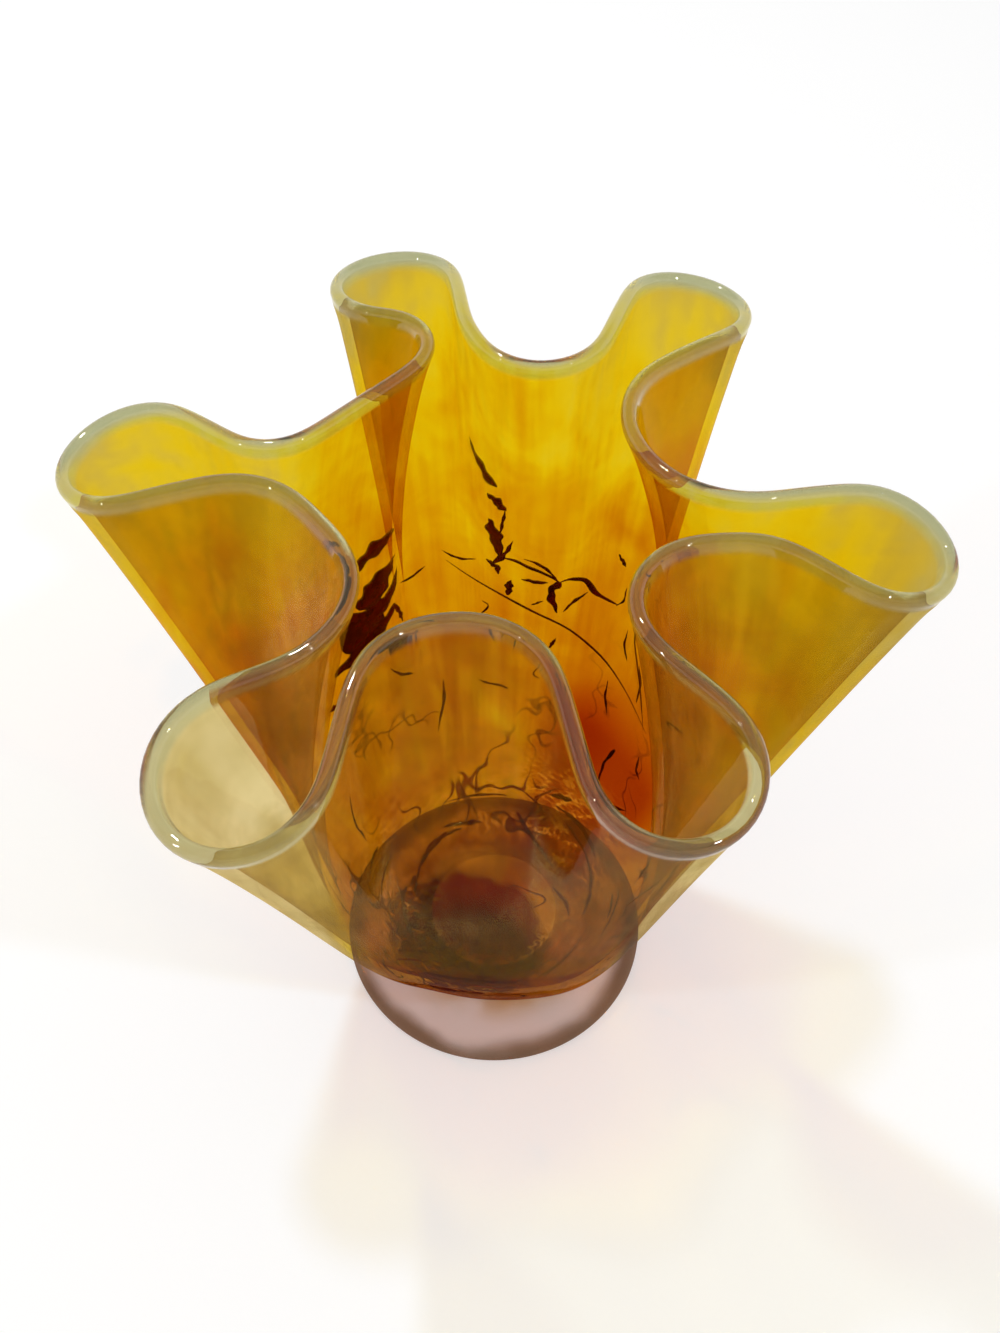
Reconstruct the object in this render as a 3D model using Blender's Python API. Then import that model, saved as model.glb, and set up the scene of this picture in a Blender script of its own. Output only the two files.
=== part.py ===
"""A handkerchief vase: one piece of blown glass, whose wall is drawn into six lobes, on a spread foot.

Metres, +Z up. The origin is the centre of the foot's underside. The wall opens from a round bowl to
a rim that weaves round pegs: it passes outside each lobe's peg and inside each fold's pegs.
"""

import math

import bmesh
import bpy
import numpy as np

# The foot: a flat-bottomed disc that rises to a short neck under the bowl
FOOT_RADIUS = 0.0450
FOOT_EDGE_HEIGHT = 0.0042
FOOT_EDGE_ROUND = 0.0016
NECK_RADIUS = 0.0190
NECK_HEIGHT = 0.0100

# The glass: the height of the middle of the bowl's floor, and the thicknesses
FLOOR_HEIGHT = 0.0140
FLOOR_THICKNESS = 0.0056
WALL_THICKNESS = 0.0026
RIM_THICKNESS = 0.0036
RIM_BEAD_HEIGHT = 0.0090

# The rim's height: one slant length from a ring low in the bowl, all the way round
SLANT_LENGTH = 0.1677
SLANT_RING_RADIUS = 0.0411
SLANT_RING_HEIGHT = 0.0267

# How the wall opens with its share u of the height: the round part as (1 - (1 - u)^BELLY)^OPENING,
# and the folds as u^FOLD_GROWTH
BELLY = 2.2
OPENING = 0.33
FOLD_GROWTH = 2.0

# How softly the rim turns, and over how much of its round each point of the bowl is evened out
RIM_EASE = 0.0035
TURN_EASE = 0.19

# Pegs of the six lobes, counterclockwise from the left one: azimuth in degrees, distance, radius
LOBES = (
    (172.3, 0.0787, 0.0148),
    (236.2, 0.0815, 0.0166),
    (295.6, 0.0741, 0.0161),
    (350.7, 0.0795, 0.0144),
    (414.2, 0.0754, 0.0139),
    (469.9, 0.0718, 0.0142),
)

# Pegs of the six folds, each after its lobe: azimuth and half span in degrees, the distances of the
# first and the second peg, and their radius
FOLDS = (
    (206.3, 5.3, 0.0585, 0.0561, 0.0204),
    (262.9, 1.0, 0.0565, 0.0558, 0.0183),
    (325.2, 2.8, 0.0540, 0.0605, 0.0162),
    (379.7, 1.7, 0.0533, 0.0529, 0.0215),
    (440.7, 1.5, 0.0507, 0.0551, 0.0155),
    (500.0, 17.0, 0.0499, 0.0520, 0.0119),
)

# How finely the surface is divided
POINTS_ROUND = 168
OUTER_ROWS = 10
INNER_ROWS = 11
FINE_POINTS = 1680
ARC_POINTS = 24

# The glass itself
AMBER = (0.80, 0.50, 0.05, 1.0)
GLASS_ROUGHNESS = 0.05
GLASS_IOR = 1.5


def clear_scene():
    """Removes every object that the file opened with."""
    for item in list(bpy.data.objects):
        bpy.data.objects.remove(item)


def peg_row():
    """The pegs in order round the axis, as centre x and y and a radius: positive for a lobe, which
    the rim passes outside, and negative for a fold."""
    rows = []
    for lobe, fold in zip(LOBES, FOLDS):
        turn, half_span, first_distance, second_distance, radius = fold
        rows.append(lobe)
        rows.append((turn - half_span, first_distance, -radius))
        rows.append((turn + half_span, second_distance, -radius))
    return [
        (distance * math.cos(math.radians(turn)), distance * math.sin(math.radians(turn)), radius)
        for turn, distance, radius in rows
    ]


def tangent_turn(here, after):
    """The angle square to the straight run from one peg to the next, which passes a lobe's peg on
    its outside and a fold's peg on its inside."""
    east, north = after[0] - here[0], after[1] - here[1]
    lean = (after[2] - here[2]) / math.hypot(east, north)
    return math.atan2(north, east) + math.acos(max(-1.0, min(1.0, lean)))


def woven_outline():
    """The rim's outline in plan: arcs round the pegs, joined by the runs between them."""
    pegs = peg_row()
    turns = [tangent_turn(peg, pegs[(i + 1) % len(pegs)]) for i, peg in enumerate(pegs)]
    outline = []
    for i, (x, y, radius) in enumerate(pegs):
        side = math.copysign(1.0, radius)
        sweep = side * ((side * (turns[i] - turns[i - 1]) + 0.9) % math.tau - 0.9)
        for angle in np.linspace(turns[i - 1], turns[i - 1] + sweep, ARC_POINTS):
            outline.append((x + radius * math.cos(angle + math.pi), y + radius * math.sin(angle + math.pi)))
    return np.array(outline)


def blurred(values, width):
    """Values at even steps round a loop, blurred by a bell curve of that share of the loop."""
    waves = math.tau * np.fft.fftfreq(len(values), d=1.0 / len(values))
    return np.fft.ifft(np.fft.fft(values) * np.exp(-0.5 * (waves * width) ** 2))


def evenly_spaced(outline, count):
    """The same closed outline with its points at equal distances along it, and its length."""
    closed = np.vstack([outline, outline[:1]])
    along = np.concatenate([[0.0], np.cumsum(np.hypot(*np.diff(closed, axis=0).T))])
    places = np.linspace(0.0, along[-1], count, endpoint=False)
    return np.column_stack([np.interp(places, along, closed[:, k]) for k in (0, 1)]), along[-1]


def rim_line():
    """The middle line of the rim: the woven outline, at the height that one slant length gives."""
    outline, length = evenly_spaced(woven_outline(), FINE_POINTS)
    soft = blurred(outline[:, 0] + 1j * outline[:, 1], RIM_EASE / length)
    outline, _ = evenly_spaced(np.column_stack([soft.real, soft.imag]), POINTS_ROUND)
    reach = np.hypot(*outline.T) - SLANT_RING_RADIUS
    height = SLANT_RING_HEIGHT + np.sqrt(np.maximum(SLANT_LENGTH**2 - reach**2, 0.0))
    return np.column_stack([outline, height])


def bowl_turns(rim):
    """The azimuth on the round bowl from which each rim point's line rises: even steps, which follow
    the rim's own azimuth only as far as its slow changes."""
    steps = math.tau * np.arange(len(rim)) / len(rim)
    drift = np.unwrap(np.arctan2(rim[:, 1], rim[:, 0])) - steps
    return steps + blurred(drift, TURN_EASE / math.tau).real


def share_of_height(radius, mean_reach):
    """The share of the height at which the round part of the wall has that radius."""
    return 1.0 - (1.0 - (radius / mean_reach) ** (1.0 / OPENING)) ** (1.0 / BELLY)


def middle_surface(first_radius, count):
    """The middle of the glass, as rows of points from a ring of that radius in the bowl's floor up
    to the rim. Each row is a circle with a share of the rim's folds."""
    rim = rim_line()
    turns = bowl_turns(rim)
    circle = np.column_stack([np.cos(turns), np.sin(turns)])
    mean_reach = np.hypot(rim[:, 0], rim[:, 1]).mean()
    folds = rim[:, :2] - circle * mean_reach
    bead = 1.0 - RIM_BEAD_HEIGHT / (rim[:, 2].mean() - FLOOR_HEIGHT)
    first = math.sqrt(share_of_height(first_radius, mean_reach))
    shares = np.append(np.linspace(first, math.sqrt(bead), count - 1) ** 2, 1.0)
    rows = []
    for share in shares:
        round_part = mean_reach * (1.0 - (1.0 - share) ** BELLY) ** OPENING
        plan = circle * round_part + folds * share**FOLD_GROWTH
        rows.append(np.column_stack([plan, FLOOR_HEIGHT + (rim[:, 2] - FLOOR_HEIGHT) * share]))
    return np.array(rows), shares


def surface_normals(rows):
    """The direction out of the glass at each point of a grid of rows, from its neighbours."""
    upward = np.gradient(rows, axis=0)
    onward = np.roll(rows, -1, axis=1) - np.roll(rows, 1, axis=1)
    normals = np.cross(onward, upward)
    return normals / np.linalg.norm(normals, axis=2, keepdims=True)


def glass_thickness(shares):
    """The thickness of each row: thick at the floor, thinning up the bowl, and a bead at the rim."""
    floor = (FLOOR_THICKNESS - WALL_THICKNESS) * (1.0 - shares) ** 12
    thickness = WALL_THICKNESS + floor
    thickness[-1] = RIM_THICKNESS
    return thickness[:, None, None]


def glass_side(first_radius, count, side):
    """One side of the glass: the middle surface moved half the thickness out or in."""
    rows, shares = middle_surface(first_radius, count)
    return rows + surface_normals(rows) * 0.5 * side * glass_thickness(shares)


def rim_round():
    """Three rows that round the rim over, from its outer side to its inner side."""
    rows, _ = middle_surface(NECK_RADIUS, OUTER_ROWS)
    outward = surface_normals(rows)[-1]
    upward = rows[-1] - rows[-2]
    upward /= np.linalg.norm(upward, axis=1, keepdims=True)
    angles = (0.25 * math.pi, 0.5 * math.pi, 0.75 * math.pi)
    return [
        rows[-1] + 0.5 * RIM_THICKNESS * (outward * math.cos(angle) + upward * math.sin(angle))
        for angle in angles
    ]


def foot_rows():
    """Rows of the foot's skin, from its underside out to its edge and in again to the neck."""
    turns = bowl_turns(rim_line())
    step = FOOT_EDGE_ROUND
    knee = 0.5 * (FOOT_RADIUS + NECK_RADIUS)
    profile = (
        (FOOT_RADIUS - step, 0.0),
        (FOOT_RADIUS, step),
        (FOOT_RADIUS, FOOT_EDGE_HEIGHT - step),
        (FOOT_RADIUS - step, FOOT_EDGE_HEIGHT),
        (knee, FOOT_EDGE_HEIGHT + 0.35 * (NECK_HEIGHT - FOOT_EDGE_HEIGHT)),
        (NECK_RADIUS, NECK_HEIGHT),
    )
    circle = np.column_stack([np.cos(turns), np.sin(turns), np.zeros(len(turns))])
    return [circle * radius + (0.0, 0.0, height) for radius, height in profile]


def vase_rows():
    """Every row of the skin in order: the foot, the outer side, the rim, the inner side."""
    outer = glass_side(1.15 * NECK_RADIUS, OUTER_ROWS, 1.0)
    inner = glass_side(0.50 * NECK_RADIUS, INNER_ROWS, -1.0)
    return foot_rows() + list(outer) + rim_round() + list(inner[::-1])


def closed_skin(rows, first_pole, last_pole):
    """A mesh of the rows, each joined to the next, and closed by a fan at both ends."""
    skin = bmesh.new()
    loops = []
    for row in rows:
        ring = [skin.verts.new(point) for point in row]
        loops.append([skin.edges.new((ring[i - 1], ring[i])) for i in range(len(ring))])
    for lower, upper in zip(loops, loops[1:]):
        bmesh.ops.bridge_loops(skin, edges=lower + upper)
    for pole, loop in ((first_pole, loops[0]), (last_pole, loops[-1])):
        centre = skin.verts.new(pole)
        for edge in loop:
            skin.faces.new((*edge.verts, centre))
    bmesh.ops.triangulate(skin, faces=skin.faces)
    bmesh.ops.recalc_face_normals(skin, faces=skin.faces)
    mesh = bpy.data.meshes.new("vase")
    skin.to_mesh(mesh)
    skin.free()
    return mesh


def amber_glass():
    """Clear amber glass."""
    material = bpy.data.materials.new("amber_glass")
    material.use_nodes = True
    shader = material.node_tree.nodes["Principled BSDF"]
    shader.inputs["Base Color"].default_value = AMBER
    shader.inputs["Metallic"].default_value = 0.0
    shader.inputs["Roughness"].default_value = GLASS_ROUGHNESS
    shader.inputs["IOR"].default_value = GLASS_IOR
    shader.inputs["Transmission Weight"].default_value = 1.0
    return material


def build_vase():
    """The whole vase, as one closed solid."""
    floor_top = FLOOR_HEIGHT + 0.5 * FLOOR_THICKNESS
    mesh = closed_skin(vase_rows(), (0.0, 0.0, 0.0), (0.0, 0.0, floor_top))
    mesh.shade_smooth()
    vase = bpy.data.objects.new("vase", mesh)
    vase.data.materials.append(amber_glass())
    bpy.context.scene.collection.objects.link(vase)


clear_scene()
build_vase()
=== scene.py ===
"""A handkerchief vase of amber blown glass, dressed for its photograph.

The wall rises from a round bowl to a rim that weaves round pegs: outside each lobe's peg and inside
each fold's. Dark threads of glass lie in the wall. Metres, +Z up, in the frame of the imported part.
"""

from __future__ import annotations

import logging
import math
from dataclasses import dataclass, field
from enum import Enum
from typing import NamedTuple

import bpy
import numpy as np
from mathutils import Matrix, Vector
from mathutils.bvhtree import BVHTree

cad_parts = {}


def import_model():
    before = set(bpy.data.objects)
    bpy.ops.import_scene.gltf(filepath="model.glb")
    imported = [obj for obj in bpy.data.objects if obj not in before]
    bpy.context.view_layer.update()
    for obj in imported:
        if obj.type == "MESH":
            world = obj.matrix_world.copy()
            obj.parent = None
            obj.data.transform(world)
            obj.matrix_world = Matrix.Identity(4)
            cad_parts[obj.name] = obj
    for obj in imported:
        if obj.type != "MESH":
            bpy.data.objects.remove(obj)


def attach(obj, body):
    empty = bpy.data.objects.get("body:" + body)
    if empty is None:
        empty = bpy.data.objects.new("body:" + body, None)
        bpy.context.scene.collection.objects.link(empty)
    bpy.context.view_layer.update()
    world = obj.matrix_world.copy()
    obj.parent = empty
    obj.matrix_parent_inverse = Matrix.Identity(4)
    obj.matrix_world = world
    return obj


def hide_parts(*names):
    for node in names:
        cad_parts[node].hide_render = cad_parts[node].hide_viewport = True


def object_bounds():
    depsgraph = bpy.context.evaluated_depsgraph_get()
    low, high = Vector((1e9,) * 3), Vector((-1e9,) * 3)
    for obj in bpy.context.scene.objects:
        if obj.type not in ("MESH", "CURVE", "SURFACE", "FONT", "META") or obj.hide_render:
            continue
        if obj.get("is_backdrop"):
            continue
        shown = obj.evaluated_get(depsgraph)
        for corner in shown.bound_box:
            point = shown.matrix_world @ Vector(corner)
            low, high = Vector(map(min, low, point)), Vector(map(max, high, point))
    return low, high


log = logging.getLogger("vase")

MM = 0.001
Array = np.ndarray
Socket = bpy.types.NodeSocket
Colour = tuple[float, float, float, float]
Screen = tuple[int, int, int]
Pair = tuple[float, float]


class Side(Enum):
    """Which side of the glass a surface is on."""

    OUTER = 1.0
    INNER = -1.0


class Lobe(NamedTuple):
    """The peg that the rim passes outside: azimuth in degrees, distance and radius in millimetres."""

    turn: float
    distance: float
    radius: float


class Fold(NamedTuple):
    """Two pegs that the rim passes inside: their middle azimuth and half span in degrees, the two
    distances and the radius in millimetres."""

    turn: float
    half_span: float
    first_distance: float
    second_distance: float
    radius: float


def blurred(values: Array, width: float) -> Array:
    """Blurs values at even steps round a loop by a bell curve.

    Each wave of the loop's Fourier series is scaled by exp(-(wave * width)^2 / 2).

    Args:
        values: real or complex values round the loop.
        width: the bell curve's spread, as a share of the loop.

    Returns:
        The blurred values, as complex numbers.
    """
    waves = math.tau * np.fft.fftfreq(len(values), d=1.0 / len(values))
    return np.fft.ifft(np.fft.fft(values) * np.exp(-0.5 * (waves * width) ** 2))


def smooth_step(values: Array) -> Array:
    """The share 3t^2 - 2t^3 of values clipped to 0 to 1, which starts and ends level."""
    t = np.clip(values, 0.0, 1.0)
    return t * t * (3.0 - 2.0 * t)


def rising(values: Array, rise: Pair) -> Array:
    """The smooth step from 0 at the rise's start to 1 past its span."""
    start, span = rise
    return smooth_step((values - start) / span)


def unit(vectors: Array) -> Array:
    """The same vectors at length 1."""
    return vectors / np.linalg.norm(vectors, axis=-1, keepdims=True)


@dataclass(frozen=True)
class Rim:
    """The middle line of the rim, in millimetres."""

    lobes: tuple[Lobe, ...] = (
        Lobe(172.3, 78.7, 14.8),
        Lobe(236.2, 81.5, 16.6),
        Lobe(295.6, 74.1, 16.1),
        Lobe(350.7, 79.5, 14.4),
        Lobe(414.2, 75.4, 13.9),
        Lobe(469.9, 71.8, 14.2),
    )
    folds: tuple[Fold, ...] = (
        Fold(206.3, 5.3, 58.5, 56.1, 20.4),
        Fold(262.9, 1.0, 56.5, 55.8, 18.3),
        Fold(325.2, 2.8, 54.0, 60.5, 16.2),
        Fold(379.7, 1.7, 53.3, 52.9, 21.5),
        Fold(440.7, 1.5, 50.7, 55.1, 15.5),
        Fold(500.0, 17.0, 49.9, 52.0, 11.9),
    )
    ease: float = 3.5
    back_turn: float = 0.9
    drawn_in: float = 0.9962
    slant_length: float = 167.5
    slant_ring_radius: float = 41.1
    slant_ring_height: float = 26.7

    def pegs(self) -> Array:
        """The pegs in order round the axis, as x, y and a radius that is negative for a fold.

        Returns:
            Rows of x, y and radius in millimetres.
        """
        rows = []
        for lobe, fold in zip(self.lobes, self.folds):
            rows.append((lobe.turn, lobe.distance, lobe.radius))
            rows.append((fold.turn - fold.half_span, fold.first_distance, -fold.radius))
            rows.append((fold.turn + fold.half_span, fold.second_distance, -fold.radius))
        turn, distance, radius = np.array(rows).T
        angle = np.radians(turn)
        return np.column_stack([distance * np.cos(angle), distance * np.sin(angle), radius])

    def woven_outline(self, arc_points: int = 40) -> Array:
        """The rim in plan: an arc round each peg, joined to the next by their common tangent.

        The tangent from a peg to the next stands at the angle of the line between them plus the
        arc cosine of their difference in radius over their distance. No arc turns back by more than
        the back turn, in radians.

        Args:
            arc_points: how many points each arc has.

        Returns:
            The points of the closed outline, as rows of x and y.
        """
        pegs = self.pegs()
        step = np.roll(pegs, -1, axis=0) - pegs
        lean = np.arccos(np.clip(step[:, 2] / np.hypot(step[:, 0], step[:, 1]), -1.0, 1.0))
        turns = np.arctan2(step[:, 1], step[:, 0]) + lean
        side = np.sign(pegs[:, 2])
        sweep = side * ((side * (turns - np.roll(turns, 1)) + self.back_turn) % math.tau - self.back_turn)
        angles = np.roll(turns, 1)[:, None] + sweep[:, None] * np.linspace(0.0, 1.0, arc_points)
        arcs = pegs[:, None, :2] - pegs[:, None, 2:] * np.stack([np.cos(angles), np.sin(angles)], axis=-1)
        return arcs.reshape(-1, 2)

    def line(self, count: int) -> Array:
        """The rim's middle line at even steps: the woven outline, eased, at the height that keeps
        one slant length from a ring low in the bowl. It is drawn in a little, so that this finer
        rim stays within the part's own box.

        Args:
            count: how many points the line has.

        Returns:
            The points, as rows of x, y and z.
        """
        outline, length = self.evenly_spaced(self.woven_outline(), 4 * count)
        soft = blurred(outline[:, 0] + 1j * outline[:, 1], self.ease / length)
        outline, _ = self.evenly_spaced(self.drawn_in * np.column_stack([soft.real, soft.imag]), count)
        reach = np.hypot(outline[:, 0], outline[:, 1]) - self.slant_ring_radius
        height = self.slant_ring_height + np.sqrt(self.slant_length**2 - reach**2)
        return np.column_stack([outline, height])

    @staticmethod
    def evenly_spaced(outline: Array, count: int) -> tuple[Array, float]:
        """The closed outline with its points at equal distances, and its length.

        Args:
            outline: rows of x and y.
            count: how many points it gets.

        Returns:
            The points, and the outline's length.
        """
        closed = np.vstack([outline, outline[:1]])
        along = np.concatenate([[0.0], np.cumsum(np.hypot(*np.diff(closed, axis=0).T))])
        places = np.linspace(0.0, along[-1], count, endpoint=False)
        spaced = np.column_stack([np.interp(places, along, closed[:, k]) for k in (0, 1)])
        return spaced, float(along[-1])


@dataclass(frozen=True)
class Wall:
    """The glass between its two sides, from the bowl's floor to the rim, in millimetres."""

    rim: Rim = field(default_factory=Rim)
    points_round: int = 440
    floor_height: float = 14.0
    floor_thickness: float = 5.6
    thickness: float = 2.6
    rim_thickness: float = 3.5
    bead_height: float = 4.5
    belly: float = 2.2
    opening: float = 0.33
    fold_growth: float = 2.0
    turn_ease: float = 0.19
    floor_fade: int = 12
    row_shift: float = 0.08

    def turns(self, rim: Array) -> Array:
        """The azimuth on the round bowl from which each rim point's line rises: even steps, which
        follow the rim's own azimuth only as far as its slow changes.

        Args:
            rim: the rim's middle line.

        Returns:
            One azimuth in radians for each point.
        """
        steps = math.tau * np.arange(len(rim)) / len(rim)
        drift = np.unwrap(np.arctan2(rim[:, 1], rim[:, 0])) - steps
        return steps + blurred(drift, self.turn_ease / math.tau).real

    def share_at(self, radius: float) -> float:
        """The share of the height at which the round part of the wall has that radius.

        Args:
            radius: the radius in millimetres.

        Returns:
            The share, from 0 at the floor to 1 at the rim.
        """
        rim = self.rim.line(self.points_round)
        part = radius / np.hypot(rim[:, 0], rim[:, 1]).mean()
        return float(1.0 - (1.0 - part ** (1.0 / self.opening)) ** (1.0 / self.belly))

    def middle(self, shares: Array) -> Array:
        """The middle of the glass: a circle that opens as (1 - (1 - u)^belly)^opening with the share
        u of the height, plus the rim's departure from its mean circle times u^fold_growth.

        Args:
            shares: the share of the height of each row.

        Returns:
            A grid of points, one row for each share.
        """
        rim = self.rim.line(self.points_round)
        turns = self.turns(rim)
        circle = np.column_stack([np.cos(turns), np.sin(turns)])
        mean_reach = np.hypot(rim[:, 0], rim[:, 1]).mean()
        folds = rim[:, :2] - circle * mean_reach
        u = shares[:, None, None]
        round_part = mean_reach * (1.0 - (1.0 - u) ** self.belly) ** self.opening
        plan = circle * round_part + folds * u**self.fold_growth
        height = self.floor_height + (rim[None, :, 2:] - self.floor_height) * u
        return np.concatenate([plan, height], axis=-1)

    @staticmethod
    def normals(rows: Array) -> Array:
        """The direction out of the glass at each point of a grid, from its neighbours."""
        onward = np.roll(rows, -1, axis=1) - np.roll(rows, 1, axis=1)
        return unit(np.cross(onward, np.gradient(rows, axis=0)))

    def thickness_at(self, shares: Array) -> Array:
        """The thickness of each row: thick at the floor, thinning up the bowl as (1 - u)^floor_fade,
        and a bead that swells to the rim as a bell curve.

        Args:
            shares: the share of the height of each row.

        Returns:
            One thickness for each row.
        """
        floor = (self.floor_thickness - self.thickness) * (1.0 - shares) ** self.floor_fade
        below = (1.0 - shares) * (self.rim.slant_ring_height + self.rim.slant_length - self.floor_height)
        bead = (self.rim_thickness - self.thickness) * np.exp(-((below / self.bead_height) ** 2))
        return (self.thickness + floor + bead)[:, None, None]

    def side(self, side: Side, first_radius: float, count: int) -> tuple[Array, Array]:
        """One side of the glass: the middle moved half the thickness along its normals.

        The rows' shares are the squares of nearly even steps, shifted by a half wave of a sine.

        Args:
            side: the outer or the inner side.
            first_radius: the radius of the lowest row.
            count: how many rows there are.

        Returns:
            The grid of points, lowest row first, and each row's share of the height.
        """
        first = math.sqrt(self.share_at(first_radius))
        even = np.linspace(0.0, 1.0, count)
        shares = (first + (1.0 - first) * (even + self.row_shift * np.sin(math.pi * even))) ** 2
        rows = self.middle(shares)
        return rows + self.normals(rows) * 0.5 * side.value * self.thickness_at(shares), shares

    def rim_round(self, count: int) -> Array:
        """Rows that round the rim over, from its outer to its inner side, on a half circle about
        the rim's middle line.

        Args:
            count: how many rows there are.

        Returns:
            A grid of points, from the outer row to the inner.
        """
        rows = self.middle(np.array([0.98, 0.99, 1.0]))
        outward = self.normals(rows)[-1]
        upward = unit(rows[-1] - rows[-2])
        angles = np.linspace(0.0, math.pi, count + 2)[1:-1, None, None]
        return rows[-1] + 0.5 * self.rim_thickness * (outward * np.cos(angles) + upward * np.sin(angles))


@dataclass(frozen=True)
class Foot:
    """The spread foot's outline from its underside to the neck, in millimetres."""

    radius: float = 45.0
    edge_height: float = 4.2
    edge_round: float = 1.6
    neck_radius: float = 19.0
    neck_height: float = 10.0
    centre_radius: float = 4.0
    flare: float = 1.5

    def profile(self, rows_under: int = 10, rows_edge: int = 10, rows_top: int = 22) -> Array:
        """The outline as rows of radius and height.

        It runs flat under the foot, round the edge on two quarter circles, and up to the neck on a
        smooth step of the way in, raised to the flare's power.

        Args:
            rows_under: how many rows lie under the foot.
            rows_edge: how many rows round the edge.
            rows_top: how many rows rise to the neck.

        Returns:
            The rows of radius and height, from the middle of the underside to the neck.
        """
        inner = self.radius - self.edge_round
        under = np.column_stack([np.linspace(self.centre_radius, inner, rows_under), np.zeros(rows_under)])
        angle = np.linspace(-0.5 * math.pi, 0.5 * math.pi, rows_edge + 2)[1:-1]
        middle = np.where(angle < 0.0, self.edge_round, self.edge_height - self.edge_round)
        bend = self.edge_round * np.column_stack([np.cos(angle), np.sin(angle)])
        edge = np.column_stack([np.full(rows_edge, inner), middle]) + bend
        share = np.linspace(0.0, 1.0, rows_top)
        rise = (self.neck_height - self.edge_height) * smooth_step(share**self.flare)
        top = np.column_stack([inner - (inner - self.neck_radius) * share, self.edge_height + rise])
        return np.vstack([under, edge, top])

    def rows(self, turns: Array) -> Array:
        """The outline turned round the axis, as a grid of points at those azimuths.

        Args:
            turns: the azimuths in radians.

        Returns:
            A grid of points, one row for each step of the outline.
        """
        profile = self.profile()
        radius, height = profile[:, :1], np.repeat(profile[:, 1:], len(turns), axis=1)
        return np.stack([radius * np.cos(turns), radius * np.sin(turns), height], axis=-1)


def grid_faces(rows: int, columns: int) -> Array:
    """Quads that join each row of a closed grid to the next, counterclockwise from outside.

    Args:
        rows: how many rows the grid has.
        columns: how many points each row has.

    Returns:
        The faces, as rows of four vertices.
    """
    low = np.arange(rows - 1)[:, None] * columns
    here, onward = np.arange(columns), np.roll(np.arange(columns), -1)
    high = low + columns
    return np.stack([low + here, low + onward, high + onward, high + here], axis=-1).reshape(-1, 4)


def solid_mesh(name: str, points: Array, loops: Array, sizes: Array) -> bpy.types.Mesh:
    """A smooth mesh from whole arrays.

    Args:
        name: the mesh's name.
        points: the vertices in metres, as rows of x, y and z.
        loops: the vertices of all faces, one face after another.
        sizes: how many vertices each face has.

    Returns:
        The mesh.
    """
    mesh = bpy.data.meshes.new(name)
    mesh.vertices.add(len(points))
    mesh.vertices.foreach_set("co", points.astype(np.float32).ravel())
    mesh.loops.add(len(loops))
    mesh.loops.foreach_set("vertex_index", loops.astype(np.int32))
    mesh.polygons.add(len(sizes))
    starts = np.concatenate([[0], np.cumsum(sizes)[:-1]])
    mesh.polygons.foreach_set("loop_start", starts.astype(np.int32))
    mesh.update(calc_edges=True)
    mesh.validate()
    mesh.shade_smooth()
    return mesh


def placed(name: str, data: bpy.types.ID) -> bpy.types.Object:
    """An object of that mesh, lamp or camera at the origin, in the scene.

    Args:
        name: the object's name.
        data: what it shows.

    Returns:
        The object.
    """
    piece = bpy.data.objects.new(name, data)
    bpy.context.scene.collection.objects.link(piece)
    return piece


def screen_colour(red: float, green: float, blue: float) -> Colour:
    """A screen colour of 0 to 255 a channel as the linear colour that a shader socket takes.

    Args:
        red: the red channel.
        green: the green channel.
        blue: the blue channel.

    Returns:
        The linear colour, with full alpha.
    """
    channels = np.array([red, green, blue]) / 255.0
    low, high = channels / 12.92, ((channels + 0.055) / 1.055) ** 2.4
    return (*np.where(channels <= 0.04045, low, high).tolist(), 1.0)


def grey(level: float) -> Colour:
    """The linear grey of that level."""
    return (level, level, level, 1.0)


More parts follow.
